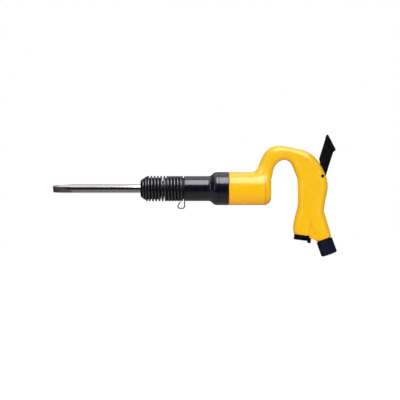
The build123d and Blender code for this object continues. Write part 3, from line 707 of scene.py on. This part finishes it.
def make_nose_turns():
    """Front turns of the wire, half sunk in the cup's cone. They carry on from the coil's start."""
    low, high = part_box("retainer_spring")
    place, radius = low.x + coil_wire, high.z - coil_wire
    stops = [(place, radius), *nose_stops]
    bm = bmesh.new()
    edges = wire_ring(bm, (place, -radius, 0), (0, 0, 1), coil_wire, coil_sides)
    step = Matrix.Rotation(-tau / coil_steps, 3, "X")
    forward = nose_pitch / coil_steps
    outward = Vector((0, -1, 0))
    while place > stops[-1][0]:
        made = bmesh.ops.extrude_edge_only(bm, edges=edges)["geom"]
        verts, edges = new_verts(made), open_rim(made)
        bmesh.ops.rotate(bm, verts=verts, cent=(0, 0, 0), matrix=step)
        outward = step @ outward
        place -= forward
        widening = nose_radius(place, stops) - radius
        radius += widening
        bmesh.ops.translate(bm, verts=verts, vec=outward * widening - Vector((forward, 0, 0)))
    close_ends(bm, coil_chamfer)
    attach(make_piece("nose_turns", bm, coil_finish), "retainer")


def make_lands():
    """Screw lands on the barrel's nose, between the coil's turns."""
    bm = bmesh.new()
    section = land_section(bm, land_start, land_foot, land_top, land_width)
    wind(bm, section, coil_pitch, land_turns, coil_steps)
    close_ends(bm, land_chamfer)
    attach(make_piece("screw_lands", bm, seat_black), "housing")


def make_lock_wire():
    """Lock wire: ring on the barrel's ledge and a finger loop that ends under the last coil."""
    low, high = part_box("lock_wire")
    ring_x = high.x - lock_wire
    ring_radius = high.z - lock_wire
    bm = bmesh.new()
    ring = wire_ring(bm, (ring_x, 0, ring_radius), (0, 1, 0), lock_wire, lock_sides)
    bmesh.ops.spin(
        bm, geom=ring, cent=(0, 0, 0), axis=(1, 0, 0), dvec=(0, 0, 0), angle=tau, steps=lock_steps,
        use_merge=True,
    )
    edges = wire_ring(bm, (ring_x, lock_offset, -ring_radius), (0, 0, -1), lock_wire, lock_sides)
    edges = run(bm, edges, (0, 0, lock_bend + ring_radius - lock_drop))
    corner = Vector((ring_x - lock_bend, lock_offset, lock_bend - lock_drop))
    edges = bend(bm, edges, corner, pi / 2, lock_bend_steps)
    edges = run(bm, edges, (-lock_span, 0, 0))
    edges = bend(bm, edges, corner - Vector((lock_span, 0, 0)), lock_fold, lock_fold_steps)
    away = Matrix.Rotation(lock_fold, 3, "Y") @ Vector((-lock_rise, 0, 0))
    run(bm, edges, away)
    close_ends(bm, lock_chamfer)
    piece = make_piece("lock_wire_loop", bm, lock_finish)
    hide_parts("lock_wire")
    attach(piece, "housing")


def make_pipe_thread():
    """Pipe thread in the air inlet's mouth."""
    bm = bmesh.new()
    foot, top = pipe_radius + pipe_root, pipe_radius - pipe_ridge
    section = land_section(bm, 0, foot, top, pipe_pitch * pipe_ridge_width)
    wind(bm, section, pipe_pitch, pipe_turns, pipe_steps)
    close_ends(bm, pipe_chamfer)
    bm.transform(Matrix.Translation(inlet_mouth + inlet_up * pipe_start) @ inlet_turn)
    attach(make_piece("pipe_thread", bm, inlet_steel), "housing")


def make_throttle_coil():
    """Throttle spring: from its foot on the strainer up to its head under the valve."""
    bm = bmesh.new()
    ring = wire_ring(bm, (0, -throttle_radius, 0), (0, 0, 1), throttle_wire, throttle_sides)
    pitch = (throttle_head - throttle_foot) / throttle_turns
    wind(bm, ring, pitch, throttle_turns, throttle_steps)
    close_ends(bm, throttle_chamfer)
    foot, head = inlet_mouth + inlet_up * throttle_foot, inlet_mouth + inlet_up * throttle_head
    bm.transform(Matrix.Translation(foot) @ inlet_turn)
    piece = make_piece("throttle_coil", bm, coil_finish)
    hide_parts("throttle_spring")
    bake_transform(piece)
    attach(piece, "housing")


make_coil()
make_nose_turns()
make_lands()
make_lock_wire()
make_pipe_thread()
make_throttle_coil()


# Stage

def make_camera():
    """Long lens square to the hammer's side, as the photograph has it."""
    camera = bpy.data.cameras.new("camera")
    camera.sensor_width = sensor_width
    camera.lens = sensor_width * view_distance / view_width
    seen = bpy.data.objects.new("camera", camera)
    seen.location = view_centre - Vector((0, view_distance, 0))
    seen.rotation_euler = (pi / 2, 0, 0)
    bpy.context.scene.collection.objects.link(seen)
    bpy.context.scene.camera = seen


def make_lamp(name, elevation, turn, distance, middle, size, brightness, mirrored, lit, tone):
    """Area lamp, raised above the camera's horizon and turned from its side, in degrees.

    Brightness is its radiance. A mirrored lamp shows in glossy surfaces, and a lit one lights matt ones.
    """
    lamp = bpy.data.lights.new(name, "AREA")
    lamp.shape = "RECTANGLE"
    lamp.size, lamp.size_y = size
    lamp.energy = brightness * pi * size[0] * size[1]
    lamp.color = tone
    placed = bpy.data.objects.new(name, lamp)
    away = Matrix.Rotation(-radians(elevation), 3, "X") @ Vector((0, -1, 0))
    away = Matrix.Rotation(radians(turn), 3, "Z") @ away
    placed.location = Vector((middle, 0, 0)) + away * distance
    placed.rotation_euler = (-away).to_track_quat("-Z", "Y").to_euler()
    placed.visible_camera = False
    placed.visible_glossy = mirrored
    placed.visible_diffuse = lit
    bpy.context.scene.collection.objects.link(placed)


def make_world():
    """White to the camera. The hammer mirrors a pale backdrop behind it and a dim studio all round."""
    world = bpy.data.worlds.new("studio")
    world.use_nodes = True
    bpy.context.scene.world = world
    tree = world.node_tree
    tree.nodes.clear()
    split = split_axes(tree, add(tree, "ShaderNodeTexCoord").outputs["Generated"])
    ramp = add(tree, "ShaderNodeValToRGB", {"Fac": spread_evenly(tree, split["Z"], -1, 1)})
    ladder = ramp.color_ramp.elements
    for place, level in studio_levels[2:]:
        ladder.new(place)
    for stop, (place, level) in zip(ladder, studio_levels):
        stop.position = place
        stop.color = (level, level, level, 1)
    behind = spread(tree, split["Y"], backdrop_start, backdrop_full)
    around = tint(tree, behind, ramp.outputs["Color"], backdrop_tone)
    matt = add(tree, "ShaderNodeLightPath").outputs["Is Diffuse Ray"]
    seen = tint(tree, looked_at(tree), tint(tree, matt, around, sky_fill), white)
    light = add(tree, "ShaderNodeBackground", {"Color": seen, "Strength": 1.0})
    add(tree, "ShaderNodeOutputWorld", {"Surface": light.outputs[0]})


def pale_floor():
    """Pale paper that keeps the shadow near the hammer, and glows white far away. Clear from below.
    Painted shade darkens the paper away from the hammer, to front and back.
    """
    made = bpy.data.materials.new("pale_floor")
    made.use_nodes = True
    tree = made.node_tree
    tree.nodes.clear()
    place = add(tree, "ShaderNodeTexCoord").outputs["Object"]
    off_middle = work_out(tree, "ABSOLUTE", split_axes(tree, place)["Y"])
    # painted shade: the paper's colour darkens away from the hammer, to front and back
    paper = spread(tree, off_middle, paper_near, paper_far, floor_tone, floor_painted_shade)
    whitened = spread(tree, reach(tree, place, (1, 1, 0)), glow_near, glow_far, glow_level, 1.0)
    glow = times(tree, whitened, looked_at(tree))
    matt = add(tree, "ShaderNodeBsdfDiffuse", {"Color": paper})
    shine = add(tree, "ShaderNodeEmission", {"Color": (*white, 1), "Strength": glow})
    lit = add(tree, "ShaderNodeAddShader", {0: matt.outputs[0], 1: shine.outputs[0]})
    clear = add(tree, "ShaderNodeBsdfTransparent")
    under = add(tree, "ShaderNodeNewGeometry").outputs["Backfacing"]
    sided = add(tree, "ShaderNodeMixShader", {0: under, 1: lit.outputs[0], 2: clear.outputs[0]})
    add(tree, "ShaderNodeOutputMaterial", {"Surface": sided.outputs[0]})
    return made


def make_floor():
    bm = bmesh.new()
    level = Matrix.Translation((0, 0, floor_height))
    bmesh.ops.create_grid(bm, x_segments=1, y_segments=1, size=floor_size, matrix=level)
    mesh = bpy.data.meshes.new("floor")
    bm.to_mesh(mesh)
    bm.free()
    mesh.materials.append(pale_floor())
    floor = bpy.data.objects.new("floor", mesh)
    bpy.context.scene.collection.objects.link(floor)


make_camera()
for lamp in lamps:
    make_lamp(*lamp)
make_world()
make_floor()
bpy.context.scene.view_settings.view_transform = "Standard"
